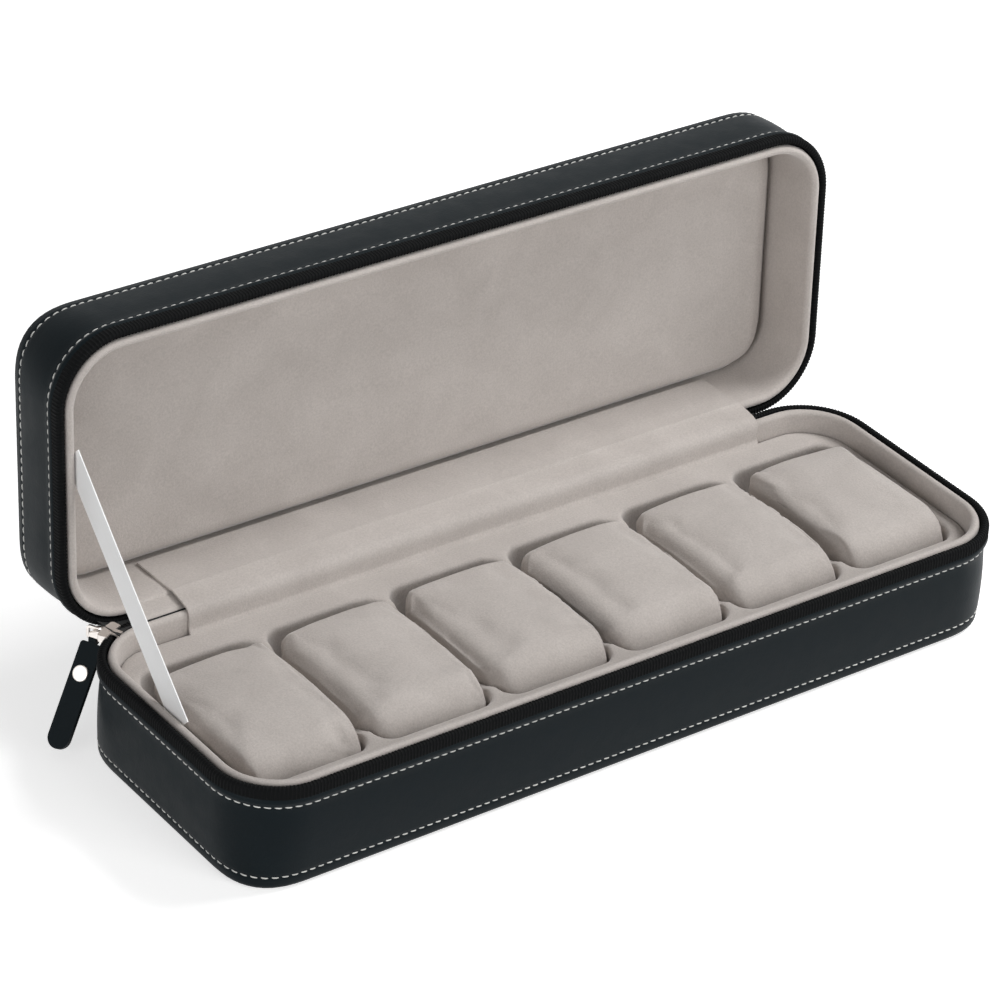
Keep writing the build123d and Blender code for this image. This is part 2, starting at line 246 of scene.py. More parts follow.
def leatherette():
    """Calendered polyurethane on a woven back: an even satin black, with a fine pebble grain that
    breaks the highlights up, and faint slow changes of gloss from handling."""
    material, shader = new_material("polyurethane leatherette")
    here = add_node(material, "ShaderNodeTexCoord").outputs["Object"]
    grain = add_node(
        material, "ShaderNodeTexVoronoi",
        {"Vector": here, "Scale": per_size(GRAIN_SIZE), "Randomness": 0.9},
        feature="SMOOTH_F1",
    )
    crease = add_node(
        material, "ShaderNodeTexNoise",
        {"Vector": here, "Scale": per_size(CREASE_SIZE), "Detail": 5.0, "Roughness": 0.6},
    )
    colour = add_node(
        material, "ShaderNodeMix",
        {"Factor": crease.outputs["Fac"], "A": rgba(colours().leatherette, 0.86),
         "B": rgba(colours().leatherette, 1.14)},
        data_type="RGBA",
    )
    gloss = add_node(
        material, "ShaderNodeMapRange",
        {"Value": crease.outputs["Fac"], "From Min": 0.3, "From Max": 0.7, "To Min": 0.4, "To Max": 0.5},
    )
    pebbles = add_node(
        material, "ShaderNodeBump",
        {"Height": grain.outputs["Distance"], "Strength": 0.35, "Distance": 0.08 * MM},
    )
    waves = add_node(
        material, "ShaderNodeBump",
        {"Height": crease.outputs["Fac"], "Strength": 0.2, "Distance": 0.5 * MM,
         "Normal": pebbles.outputs["Normal"]},
    )
    feed(
        material, shader, Base_Color=colour.outputs["Result"], Roughness=gloss.outputs["Result"],
        Normal=waves.outputs["Normal"], Specular_IOR_Level=0.08,
    )
    return material


def velvet():
    """Short cut pile glued on cloth: pale where it leans to the light, cloudy where a hand has
    brushed it, with a soft bright edge where it is seen across the pile."""
    material, shader = new_material("short-pile velvet")
    here = add_node(material, "ShaderNodeTexCoord").outputs["Object"]
    brushed = add_node(
        material, "ShaderNodeTexNoise",
        {"Vector": here, "Scale": per_size(BRUSH_SIZE), "Detail": 4.0, "Roughness": 0.55,
         "Distortion": 0.6},
    )
    pile = add_node(
        material, "ShaderNodeTexNoise",
        {"Vector": here, "Scale": per_size(PILE_SIZE), "Detail": 2.0, "Roughness": 0.7},
    )
    patch = add_node(
        material, "ShaderNodeMapRange",
        {"Value": brushed.outputs["Fac"], "From Min": 0.25, "From Max": 0.75, "To Min": 0.0,
         "To Max": 0.55},
    )
    nap = add_node(
        material, "ShaderNodeMix",
        {"Factor": patch.outputs["Result"], "A": rgba(colours().velvet),
         "B": rgba(colours().velvet_brushed)},
        data_type="RGBA",
    )
    speck = add_node(
        material, "ShaderNodeMapRange",
        {"Value": pile.outputs["Fac"], "From Min": 0.3, "From Max": 0.7, "To Min": 0.9, "To Max": 1.08},
    )
    colour = add_node(
        material, "ShaderNodeVectorMath",
        {0: nap.outputs["Result"], "Scale": speck.outputs["Result"]}, operation="SCALE",
    )
    fibres = add_node(
        material, "ShaderNodeBump",
        {"Height": pile.outputs["Fac"], "Strength": 0.5, "Distance": 0.25 * MM},
    )
    feed(
        material, shader, Base_Color=colour.outputs["Vector"], Normal=fibres.outputs["Normal"],
        Roughness=0.95, Specular_IOR_Level=0.15, Sheen_Weight=0.35, Sheen_Roughness=0.45,
    )
    return material


def sewing_thread():
    """Twisted polyester thread: off-white, with a twist that shades each stitch across."""
    material, shader = new_material("polyester sewing thread")
    here = add_node(material, "ShaderNodeTexCoord").outputs["Object"]
    twist = add_node(
        material, "ShaderNodeTexWave",
        {"Vector": here, "Scale": per_size(THREAD_TWIST) / TWIST_COARSER, "Distortion": 1.5},
        bands_direction="DIAGONAL",
    )
    shade = add_node(
        material, "ShaderNodeMix",
        {"Factor": twist.outputs["Fac"], "A": rgba(colours().thread, 0.88), "B": rgba(colours().thread)},
        data_type="RGBA",
    )
    feed(material, shader, Base_Color=shade.outputs["Result"], Roughness=0.6)
    return material


def zip_tape_cloth():
    """Woven polyester tape: dull black with fine ribs across it."""
    material, shader = new_material("woven zip tape")
    here = add_node(material, "ShaderNodeTexCoord").outputs["Object"]
    ribs = add_node(
        material, "ShaderNodeTexNoise",
        {"Vector": here, "Scale": per_size(TAPE_RIB), "Detail": 1.0},
    )
    rise = add_node(
        material, "ShaderNodeBump",
        {"Height": ribs.outputs["Fac"], "Strength": 0.6, "Distance": 0.2 * MM},
    )
    shade = add_node(
        material, "ShaderNodeMix",
        {"Factor": ribs.outputs["Fac"], "A": rgba(colours().zip_black, 0.7),
         "B": rgba(colours().zip_black, 1.5)},
        data_type="RGBA",
    )
    feed(
        material, shader, Base_Color=shade.outputs["Result"], Normal=rise.outputs["Normal"],
        Roughness=0.85,
    )
    return material


def coil_nylon():
    """Extruded nylon monofilament: black, smooth and a little shiny on every tooth."""
    material, shader = new_material("nylon zip coil")
    here = add_node(material, "ShaderNodeTexCoord").outputs["Object"]
    drawn = add_node(
        material, "ShaderNodeTexNoise", {"Vector": here, "Scale": per_size(CREASE_SIZE), "Detail": 2.0},
    )
    gloss = add_node(
        material, "ShaderNodeMapRange", {"Value": drawn.outputs["Fac"], "To Min": 0.55, "To Max": 0.7},
    )
    feed(
        material, shader, Roughness=gloss.outputs["Result"], Base_Color=rgba(colours().zip_black),
        Specular_IOR_Level=0.07,
    )
    return material


def satin():
    """Woven satin ribbon: white, with long floating threads that stretch the highlight."""
    material, shader = new_material("satin ribbon")
    where = add_node(material, "ShaderNodeUVMap").outputs["UV"]
    stretched = add_node(
        material, "ShaderNodeMapping", {"Vector": where, "Scale": (1.0, 0.05, 1.0)},
    )
    threads = add_node(
        material, "ShaderNodeTexNoise",
        {"Vector": stretched.outputs["Vector"], "Scale": per_size(SATIN_THREAD), "Detail": 2.0},
    )
    rise = add_node(
        material, "ShaderNodeBump",
        {"Height": threads.outputs["Fac"], "Strength": 0.25, "Distance": 0.1 * MM},
    )
    shade = add_node(
        material, "ShaderNodeMix",
        {"Factor": threads.outputs["Fac"], "A": rgba(colours().ribbon, 0.93), "B": rgba(colours().ribbon)},
        data_type="RGBA",
    )
    feed(
        material, shader, Base_Color=shade.outputs["Result"], Normal=rise.outputs["Normal"],
        Roughness=0.38, Sheen_Weight=0.6,
    )
    return material


def plated_nickel():
    """Die-cast zinc plated with bright nickel: warm silver, with tumbling marks in the gloss."""
    material, shader = new_material("nickel-plated zinc")
    here = add_node(material, "ShaderNodeTexCoord").outputs["Object"]
    marks = add_node(
        material, "ShaderNodeTexNoise", {"Vector": here, "Scale": per_size(TUMBLE_MARK), "Detail": 4.0},
    )
    gloss = add_node(
        material, "ShaderNodeMapRange", {"Value": marks.outputs["Fac"], "To Min": 0.3, "To Max": 0.4},
    )
    feed(
        material, shader, Roughness=gloss.outputs["Result"], Base_Color=rgba(colours().nickel),
        Metallic=1.0,
    )
    return material


def fibre_board():
    """Pressed fibre board inside the walls: dull and mottled."""
    material, shader = new_material("pressed fibre board")
    here = add_node(material, "ShaderNodeTexCoord").outputs["Object"]
    fibres = add_node(
        material, "ShaderNodeTexNoise", {"Vector": here, "Scale": per_size(BOARD_FIBRE), "Detail": 6.0},
    )
    shade = add_node(
        material, "ShaderNodeMix",
        {"Factor": fibres.outputs["Fac"], "A": rgba(colours().board, 0.7), "B": rgba(colours().board, 1.3)},
        data_type="RGBA",
    )
    feed(material, shader, Base_Color=shade.outputs["Result"], Roughness=0.95)
    return material


def pillow_foam():
    """Open-cell foam inside the pillows: cream, pitted all over."""
    material, shader = new_material("open-cell foam")
    here = add_node(material, "ShaderNodeTexCoord").outputs["Object"]
    cells = add_node(
        material, "ShaderNodeTexVoronoi", {"Vector": here, "Scale": per_size(FOAM_CELL)},
    )
    pits = add_node(
        material, "ShaderNodeBump",
        {"Height": cells.outputs["Distance"], "Strength": 0.8, "Distance": 0.4 * MM},
    )
    feed(
        material, shader, Normal=pits.outputs["Normal"], Base_Color=rgba(colours().foam),
        Roughness=0.9,
    )
    return material


FINISHES = {
    "black_leatherette": leatherette,
    "grey_velvet": velvet,
    "sewing_thread": sewing_thread,
    "zip_tape": zip_tape_cloth,
    "zip_coil": coil_nylon,
    "satin_ribbon": satin,
    "nickel_plate": plated_nickel,
    "grey_board": fibre_board,
    "pillow_foam": pillow_foam,
}
made_finishes = {}


def finish_of(name):
    """The material of that finish, made once."""
    if name not in made_finishes:
        made_finishes[name] = FINISHES[name]()
    return made_finishes[name]


def dress_node(node, finish):
    """Give a carried-over CAD node its finish."""
    obj = frame["nodes"][node]
    obj.data.materials.clear()
    obj.data.materials.append(finish_of(finish))


# Meshes

SHARP = math.radians(50)


def mesh_piece(name, rings, finish, wrap=True, caps=True):
    """A piece from rings of points, one ring joined to the next. Wrap closes each ring; caps close
    the first and last. Its UV map is in metres, along the rings and across them."""
    mesh = bpy.data.meshes.new(name)
    work = bmesh.new()
    rows = [[work.verts.new(point) for point in ring] for ring in rings]
    count = len(rows[0])
    uv = work.loops.layers.uv.new("surface")
    along = [0.0]
    for place in range(1, count + 1):
        along.append(along[-1] + (Vector(rings[0][place % count]) - Vector(rings[0][place - 1])).length)
    across = [0.0]
    for one, two in zip(rings, rings[1:]):
        across.append(across[-1] + (Vector(two[0]) - Vector(one[0])).length)
    for level, (one, two) in enumerate(zip(rows, rows[1:])):
        for place in range(count if wrap else count - 1):
            after = (place + 1) % count
            face = work.faces.new((one[place], one[after], two[after], two[place]))
            corners = ((place, level), (place + 1, level), (place + 1, level + 1), (place, level + 1))
            for loop, (step, row) in zip(face.loops, corners):
                loop[uv].uv = (along[step], across[row])
    if caps:
        work.faces.new(list(reversed(rows[0])))
        work.faces.new(rows[-1])
    bmesh.ops.recalc_face_normals(work, faces=work.faces)
    work.to_mesh(mesh)
    work.free()
    return add_piece(name, mesh, finish)


def add_piece(name, mesh, finish):
    """Link a mesh to the scene as a smooth-shaded piece with its finish."""
    mesh.shade_smooth()
    mesh.set_sharp_from_angle(angle=SHARP)
    mesh.materials.append(finish_of(finish))
    piece = bpy.data.objects.new(name, mesh)
    bpy.context.scene.collection.objects.link(piece)
    return piece


def rounded_box_path(half_length, half_width, radius):
    """Length of a rounded rectangle's outline."""
    return 4 * (half_length + half_width - 2 * radius) + 2 * math.pi * radius


def along_outline(half_length, half_width, radius, run):
    """Point and outward angle after a run round a rounded rectangle, from its rear middle leftwards."""
    short, long = half_width - radius, half_length - radius
    x, y, turn = 0.0, half_width, math.pi / 2
    for straight in (long, 2 * short, 2 * long, 2 * short, long):
        step = min(run, straight)
        x -= step * math.sin(turn)
        y += step * math.cos(turn)
        run -= step
        if run <= 0:
            break
        bend = min(run / radius, math.pi / 2)
        x -= radius * math.cos(turn)
        y -= radius * math.sin(turn)
        turn += bend
        x += radius * math.cos(turn)
        y += radius * math.sin(turn)
        run -= bend * radius
        if run <= 0:
            break
    return x, y, turn


PERIMETER = rounded_box_path(HALF_LENGTH, HALF_WIDTH, CORNER_RADIUS)
CORNER_STEPS = 14
STRAIGHT_STEP = 8 * MM


def outline_runs():
    """Runs round the case at which rings have a point: close in the corners, wide on the straights."""
    long, short = HALF_LENGTH - CORNER_RADIUS, HALF_WIDTH - CORNER_RADIUS
    bend = math.pi / 2 * CORNER_RADIUS
    runs, start = [], 0.0
    for length, steps in (
        (long, round(long / STRAIGHT_STEP)), (bend, CORNER_STEPS),
        (2 * short, round(2 * short / STRAIGHT_STEP)), (bend, CORNER_STEPS),
        (2 * long, round(2 * long / STRAIGHT_STEP)), (bend, CORNER_STEPS),
        (2 * short, round(2 * short / STRAIGHT_STEP)), (bend, CORNER_STEPS),
        (long, round(long / STRAIGHT_STEP)),
    ):
        runs += [start + length * step / steps for step in range(steps)]
        start += length
    return runs


RUNS = outline_runs()


def wall_point(half, run, stand_off, depth, swell=0.0):
    """A point of a half by its run round the case, its distance out from the leather and its depth."""
    x, y, turn = along_outline(HALF_LENGTH, HALF_WIDTH, CORNER_RADIUS, run)
    out = stand_off + swell * math.sin(2 * turn) ** 2
    return half.place(x + out * math.cos(turn), y + out * math.sin(turn), depth)


def wall_ring(half, stand_off, depth, swell=0.0):
    return [wall_point(half, run, stand_off, depth, swell) for run in RUNS]


def arc_steps(steps, first=0.0, last=math.pi / 2):
    return [first + (last - first) * step / steps for step in range(steps + 1)]


# Leather

def stitch_depths(half):
    """Depths of a half's two stitch rows."""
    return sizes().rim_row, half.depth - sizes().outer_row


FLARE_REACH = 2.6 * MM
SKIN_ROWS = 46


def lip_rise():
    """Height of the leather's rounded edge at the rim."""
    return 0.4 * (sizes().leather + sizes().flare)


def leather_out(half, depth):
    """How far the leather's face stands out from its nominal plane at a depth, and its corner swell."""
    seam = half.depth - sizes().end_round
    share = min(max((depth - LEATHER_EDGE) / (seam - LEATHER_EDGE), 0.0), 1.0)
    out = sizes().bow * math.sin(math.pi * share) ** 0.8 - sizes().draft * share
    out += sizes().flare * math.exp(-((depth - LEATHER_EDGE - lip_rise()) / FLARE_REACH) ** 2)
    for row in stitch_depths(half):
        out -= sizes().groove * math.exp(-((depth - row) / sizes().thread) ** 2)
    return out, sizes().corner_swell * share


def skin_rings(half):
    """Rings of a half's leather skin: up the inside, over the turned edge, down the outside."""
    inside = -sizes().leather
    middle, reach = (sizes().flare + inside) / 2, (sizes().flare - inside) / 2
    lip = LEATHER_EDGE + lip_rise()
    seam = half.depth - sizes().end_round
    floor_depth = half.depth - sizes().leather
    rings = [
        wall_ring(half, 4 * inside, floor_depth),
        wall_ring(half, inside, floor_depth),
        wall_ring(half, inside, lip),
    ]
    for angle in arc_steps(8, 0.0, math.pi)[1:]:
        rings.append(wall_ring(half, middle - reach * math.cos(angle), lip - lip_rise() * math.sin(angle)))
    for step in range(1, SKIN_ROWS + 1):
        depth = lip + (seam - lip) * step / SKIN_ROWS
        out, swell = leather_out(half, depth)
        rings.append(wall_ring(half, out, depth, swell))
    out, swell = leather_out(half, seam)
    for angle in arc_steps(8)[1:]:
        drawn = sizes().end_round * (1 - math.cos(angle))
        rings.append(
            wall_ring(half, out - drawn, seam + sizes().end_round * math.sin(angle), swell)
        )
    rings.append(wall_ring(half, -3 * sizes().end_round, half.depth, swell))
    return rings


class WATCHCASE_OT_leather_skins(bpy.types.Operator):
    """Leatherette skins of base and lid, bowed and drawn in at the stitching"""

    bl_idname = "watchcase.leather_skins"
    bl_label = "Leather skins"

    def execute(self, context):
        for half in HALVES:
            skin = mesh_piece(f"{half.name}_leather_skin", skin_rings(half), "black_leatherette")
            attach(skin, half.name)
            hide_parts(f"{half.name}_side_leather", f"{half.name}_{half.end}_leather")
        return {"FINISHED"}


STITCH_SIDES = 6
STITCH_SLANT = 0.09
# Along one stitch: place and width as shares of its length and thickness, and how deep it sinks
STITCH_SHAPE = (
    (-0.5, 0.35, 0.55), (-0.42, 0.8, 0.2), (-0.2, 1.0, -0.35),
    (0.2, 1.0, -0.35), (0.42, 0.8, 0.2), (0.5, 0.35, 0.55),
)


def stitch_loops(half, run, depth):
    """Rings of one stitch: a thread that dives into the leather at both ends."""
    rings = []
    length, radius = sizes().stitch_length, sizes().thread / 2
    for place, width, sink in STITCH_SHAPE:
        here = run + place * length
        ring = []
        for side in range(STITCH_SIDES):
            angle = 2 * math.pi * side / STITCH_SIDES
            at_depth = depth + place * length * STITCH_SLANT + radius * width * math.cos(angle)
            out, swell = leather_out(half, depth)
            lift = out + radius * (0.75 * width * math.sin(angle) - sink + 0.45)
            ring.append(wall_point(half, here % PERIMETER, lift, at_depth, swell))
        rings.append(ring)
    return rings


class WATCHCASE_OT_stitches(bpy.types.Operator):
    """Two rows of stitches round each half"""

    bl_idname = "watchcase.stitches"
    bl_label = "Stitches"

    def execute(self, context):
        for half in HALVES:
            count = round(PERIMETER / sizes().stitch_pitch)
            tubes = [
                stitch_loops(half, PERIMETER * number / count, depth)
                for depth in stitch_depths(half) for number in range(count)
            ]
            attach(tube_group(f"{half.name}_stitches", tubes, "sewing_thread"), half.name)
        return {"FINISHED"}


def tube_group(name, tubes, finish):
    """One piece of many short closed tubes, each a list of rings."""
    vertices, faces = [], []
    for rings in tubes:
        first, sides = len(vertices), len(rings[0])
        for ring in rings:
            vertices += ring
        for level in range(len(rings) - 1):
            for side in range(sides):
                after = (side + 1) % sides
                low, high = first + level * sides, first + (level + 1) * sides
                faces.append((low + side, low + after, high + after, high + side))
        faces.append(tuple(range(first + sides - 1, first - 1, -1)))
        faces.append(tuple(range(len(vertices) - sides, len(vertices))))
    mesh = bpy.data.meshes.new(name)
    mesh.from_pydata(vertices, [], faces)
    work = bmesh.new()
    work.from_mesh(mesh)
    bmesh.ops.recalc_face_normals(work, faces=work.faces)
    work.to_mesh(mesh)
    work.free()
    return add_piece(name, mesh, finish)


# Zip

COIL_INNER = -1.5 * MM
COIL_TOP = 0.2 * MM
COIL_FOOT = 4.6 * MM
COIL_RIDGE = 0.22 * MM
TOOTH_SIDES = 6


def chain_profile(shrink):
    """Out and depth of points over the arch of the coil, made smaller all round by shrink."""
    outer, inner = sizes().flare - shrink, COIL_INNER + shrink
    middle, reach = (outer + inner) / 2, (outer - inner) / 2
    line = [(outer, COIL_FOOT)]
    line += [
        (middle + reach * math.cos(angle), COIL_TOP + shrink + reach * (1 - math.sin(angle)))
        for angle in arc_steps(6, 0.0, math.pi)
    ]
    return [*line, (inner, COIL_FOOT)]


def tooth_loops(half, run):
    """Rings of one coil tooth: a loop of nylon over the tape's edge."""
    radius = sizes().tooth_wire / 2
    line = chain_profile(radius)
    rings = []
    for number, (out, depth) in enumerate(line):
        before, after = line[max(number - 1, 0)], line[min(number + 1, len(line) - 1)]
        way = Vector((after[0] - before[0], after[1] - before[1])).normalized()
        ring = []
        for side in range(TOOTH_SIDES):
            angle = 2 * math.pi * side / TOOTH_SIDES
            bulge = radius * math.cos(angle)
            ring.append(wall_point(
                half, run + radius * math.sin(angle), out - way.y * bulge, depth + way.x * bulge,
            ))
        rings.append(ring)
    return rings


def edging_rings(half, first, last):
    """Cross-sections of the tape's edge, which the teeth are wound over, along a run of the zip."""
    runs = [first, *[run for run in RUNS if first < run < last], last]
    return [[wall_point(half, run, out, depth) for out, depth in chain_profile(COIL_RIDGE)] for run in runs]


class WATCHCASE_OT_zip(bpy.types.Operator):
    """Zip tapes and coil teeth round both rims"""

    bl_idname = "watchcase.zip"
    bl_label = "Zip"

    def execute(self, context):
        start = SPINE_HALF
        count = int((PERIMETER - 2 * start) / sizes().tooth_pitch)
        for half in HALVES:
            dress_node(f"{half.name}_zip_tape", "zip_tape")
            rings = edging_rings(half, start, PERIMETER - start)
            edging = mesh_piece(f"{half.name}_tape_edging", rings, "zip_coil")
            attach(edging, half.name)
            tubes = [tooth_loops(half, start + number * sizes().tooth_pitch) for number in range(count)]
            coil = tube_group(f"{half.name}_coil_teeth", tubes, "zip_coil")
            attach(coil, half.name)
            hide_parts(f"{half.name}_zip_coil")
        return {"FINISHED"}


JOIN_DEPTH = 1.4 * MM
JOIN_THICKNESS = 0.8 * MM
JOIN_SAG = 1.2 * MM
SLIDER_RUN = HALF_LENGTH - CORNER_RADIUS + 12.7 * MM
JOIN_OVER_SLIDER = -0.45 * MM
JOIN_REACH_IN = 3.2 * MM
JOIN_OVERLAP = 5 * MM
JOIN_STEPS = 12


def join_rings(first, last, over):
    """Cross-sections of the closed zip between base and lid, from one run to another. Over is how far
    it rises and reaches inwards by its last one, to lie on the slider's clip."""
    rings = []
    for step in range(JOIN_STEPS + 1):
        run = first + (last - first) * step / JOIN_STEPS
        rise = over * step / JOIN_STEPS
        low_depth = JOIN_DEPTH + (JOIN_OVER_SLIDER - JOIN_DEPTH) * rise
        low = wall_point(BASE, run % PERIMETER, -JOIN_REACH_IN * rise, low_depth)
        high = wall_point(LID, run % PERIMETER, 0.0, JOIN_DEPTH)
        upper, lower = [], []
        for share in (0.0, 0.25, 0.5, 0.75, 1.0):
            point = low.lerp(high, share)
            sag = JOIN_SAG * math.sin(math.pi * share) * (1 - rise)
            upper.append(point - Vector((0, 0, sag)))
            lower.append(point - Vector((0, 0, sag + JOIN_THICKNESS * (1 - 0.7 * rise))))
        rings.append([*upper, *reversed(lower)])
    return rings


class WATCHCASE_OT_zip_ends(bpy.types.Operator):
    """Closed ends of the zip, which join base and lid beside the spine"""

    bl_idname = "watchcase.zip_ends"
    bl_label = "Closed zip ends"

    def execute(self, context):
        start, end = wall_point(BASE, 0.0, 0.0, 0.0), wall_point(LID, 0.0, 0.0, 0.0)
        for name, first, last, over in (
            ("left", SPINE_HALF - JOIN_OVERLAP, SLIDER_RUN, 1),
            ("right", PERIMETER - SPINE_HALF + JOIN_OVERLAP, PERIMETER - SPINE_HALF - JOIN_OVERLAP, 0),
        ):
            join = mesh_piece(f"{name}_zip_end", join_rings(first, last, over), "zip_tape")
            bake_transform(join)
        return {"FINISHED"}


# Velvet

ROLL_OUTER = -1.7 * MM
ROLL_START = 4.2 * MM
ROLL_TOP = 0.2 * MM
ROLL_HEIGHT = 1.2
LINING_OVERLAP = 0.1 * MM
LINING_WAVE = 0.12 * MM


class WATCHCASE_OT_wall_linings(bpy.types.Operator):
    """Padded velvet linings, rolled over at the rims"""

    bl_idname = "watchcase.wall_linings"
    bl_label = "Wall linings"

    def execute(self, context):
        for half, foot in (
            (BASE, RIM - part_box("base_wall_lining")[0].z),
            (LID, closed_heights("lid_wall_lining")[1] - RIM),
        ):
            outer, inner = -LINING_OUTER + LINING_OVERLAP, -WALL
            middle, reach = (ROLL_OUTER + inner) / 2, (ROLL_OUTER - inner) / 2
            shoulder = ROLL_TOP + ROLL_HEIGHT * reach
            rings = [
                wall_ring(half, outer, foot),
                wall_ring(half, outer, ROLL_START),
                wall_ring(half, ROLL_OUTER, shoulder),
            ]
            for angle in arc_steps(8, 0.0, math.pi)[1:]:
                rise = ROLL_HEIGHT * reach * math.sin(angle)
                rings.append(wall_ring(half, middle + reach * math.cos(angle), shoulder - rise))
            for share in (0.1, 0.25, 0.5, 0.75, 1.0):
                wave = LINING_WAVE * math.sin(3 * math.pi * share)
                rings.append(wall_ring(half, inner - wave, shoulder + (foot - shoulder) * share))
            lining = mesh_piece(f"{half.name}_velvet_wall", rings, "grey_velvet", caps=False)
            close_ends(lining)
            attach(lining, half.name)
            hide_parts(f"{half.name}_wall_lining")
        dress_node("base_floor_lining", "grey_velvet")
        return {"FINISHED"}


def close_ends(piece):
    """Bridge a ring-shaped piece's two open edges."""
    work = bmesh.new()
    work.from_mesh(piece.data)
    edges = [edge for edge in work.edges if edge.is_boundary]
    bmesh.ops.bridge_loops(work, edges=edges)
    bmesh.ops.recalc_face_normals(work, faces=work.faces)
    work.to_mesh(piece.data)
    work.free()
    piece.data.shade_smooth()
    piece.data.set_sharp_from_angle(angle=SHARP)


def apply_modifiers(piece):
    """Turn a piece's modifiers into its mesh."""
    graph = bpy.context.evaluated_depsgraph_get()
    mesh = bpy.data.meshes.new_from_object(piece.evaluated_get(graph))
    piece.modifiers.clear()
    piece.data = mesh


TRAY_VOXEL = 1.1 * MM
TRAY_SMOOTHING = 4
TRAY_RISE = 1.5 * MM


class WATCHCASE_OT_tray(bpy.types.Operator):
    """Flocked tray, with every pocket's edge softened"""

    bl_idname = "watchcase.tray"
    bl_label = "Pocket tray"

    def execute(self, context):
        tray = bpy.data.objects.new("flocked_tray", frame["nodes"]["pocket_tray"].data.copy())
        context.scene.collection.objects.link(tray)
        remesh = tray.modifiers.new("even cells", "REMESH")
        remesh.mode = "VOXEL"
        remesh.voxel_size = TRAY_VOXEL * 1
        soften = tray.modifiers.new("soft edges", "SMOOTH")
        soften.factor = 0.6
        soften.iterations = TRAY_SMOOTHING
        apply_modifiers(tray)
        stretch = 1 + TRAY_RISE / (TRAY_TOP - FLOOR_TOP)
        for vertex in tray.data.vertices:
            vertex.co.z = FLOOR_TOP + (vertex.co.z - FLOOR_TOP) * stretch
        tray.data.materials.clear()
        tray.data.materials.append(finish_of("grey_velvet"))
        tray.data.shade_smooth()
        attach(tray, "base")
        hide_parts("pocket_tray")
        return {"FINISHED"}


PILLOW_SECTIONS = 34
PILLOW_FRONT_ROUND = 12 * MM
PILLOW_REAR_ROUND = 4.5 * MM
PILLOW_FOOT_ROUND = 4 * MM
PILLOW_CROWN = 1.8 * MM
PILLOW_DRAW = 0.7 * MM
PILLOW_LUMP = 0.45 * MM
PILLOW_RISE = 1.3 * MM
FOAM_INSET = 3 * MM
CLOTH_PRESSURE = 4.0
CLOTH_FRAMES = 12
# Lumps in the stuffing, per metre
BROAD_LUMPS = 55
FINE_LUMPS = 120


def pillow_outline(front, rear, foot, top):
    """A pillow's side outline in Y and Z, with its corner rounds and the crown of its top."""
    # Each corner: where it is, its round, its first angle, and the cells of the straight after it
    corners = (
        (front, foot, PILLOW_FOOT_ROUND, math.pi, 24),
        (rear, foot, PILLOW_FOOT_ROUND, 1.5 * math.pi, 10),
        (rear, top - PILLOW_CROWN, PILLOW_REAR_ROUND, 0.0, 20),
        (front, top - PILLOW_CROWN, PILLOW_FRONT_ROUND, 0.5 * math.pi, 8),
    )
    middle, half = (front + rear) / 2, (rear - front) / 2
    points, straights = [], []
    for y, z, radius, start, cells in corners:
        centre_y = y + radius if y == front else y - radius
        centre_z = z + radius if z == foot else z - radius
        for angle in arc_steps(CORNER_STEPS, start, start + math.pi / 2):
            points.append((centre_y + radius * math.cos(angle), centre_z + radius * math.sin(angle)))
        straights += [1] * CORNER_STEPS + [cells]
    filled = []
    for one, two, cells in zip(points, [*points[1:], points[0]], straights):
        filled += [
            (one[0] + (two[0] - one[0]) * cell / cells, one[1] + (two[1] - one[1]) * cell / cells)
            for cell in range(cells)
        ]
    rise = top - PILLOW_CROWN - foot
    return [
        (y, z + PILLOW_CROWN * (1 - ((y - middle) / half) ** 2) * max(0.0, (z - foot) / rise) ** 3)
        for y, z in filled
    ]


def pillow_rings(low, high):
    """Rings across a pillow from its left face to its right one, each drawn in towards the sides."""
    middle, half = (low.x + high.x) / 2, (high.x - low.x) / 2
    rings = []
    for step in range(PILLOW_SECTIONS + 1):
        angle = math.pi * (step / PILLOW_SECTIONS - 0.5)
        share = math.sin(angle)
        edge = sizes().pillow_left_edge if share < 0 else sizes().pillow_right_edge
        across = math.copysign(abs(share) ** 0.72, share)
        corner = max(0.0, (abs(across) - (1 - edge / half)) / (edge / half))
        drawn = edge * 0.8 * (1 - math.sqrt(max(0.0, 1 - corner ** 2.2))) + PILLOW_DRAW * across ** 2
        rings.append([
            (middle + across * half, y, z)
            for y, z in pillow_outline(low.y + drawn, high.y - drawn, low.z + 0.6 * drawn, high.z - drawn)
        ])
    return rings


def fill_pillow(piece, seed):
    """Blow a pillow's cover up a little under cloth pressure, and let the stuffing lie unevenly."""
    rest = [vertex.co.copy() for vertex in piece.data.vertices]
    cloth = piece.modifiers.new("stuffing", "CLOTH")
    cloth.settings.use_pressure = True
    cloth.settings.uniform_pressure_force = CLOTH_PRESSURE
    cloth.settings.effector_weights.gravity = 0.0
    cloth.settings.quality = 5
    cloth.point_cache.frame_start = 1
    cloth.point_cache.frame_end = CLOTH_FRAMES
    for number in range(1, CLOTH_FRAMES + 1):
        bpy.context.scene.frame_set(number)
    apply_modifiers(piece)
    bpy.context.scene.frame_set(1)
    limit = sizes().pillow_puff
    drift = Vector((seed * 3.7, seed * 1.3, 0.0))
    normals = [vertex.normal.copy() for vertex in piece.data.vertices]
    for vertex, start, normal in zip(piece.data.vertices, rest, normals):
        move = vertex.co - start
        if move.length > limit:
            move *= limit / move.length
        lump = noise.noise(start * BROAD_LUMPS + drift) * 0.5
        lump += noise.noise(start * FINE_LUMPS + drift) * 0.22
        vertex.co = start + move + normal * lump * PILLOW_LUMP
    piece.data.update()


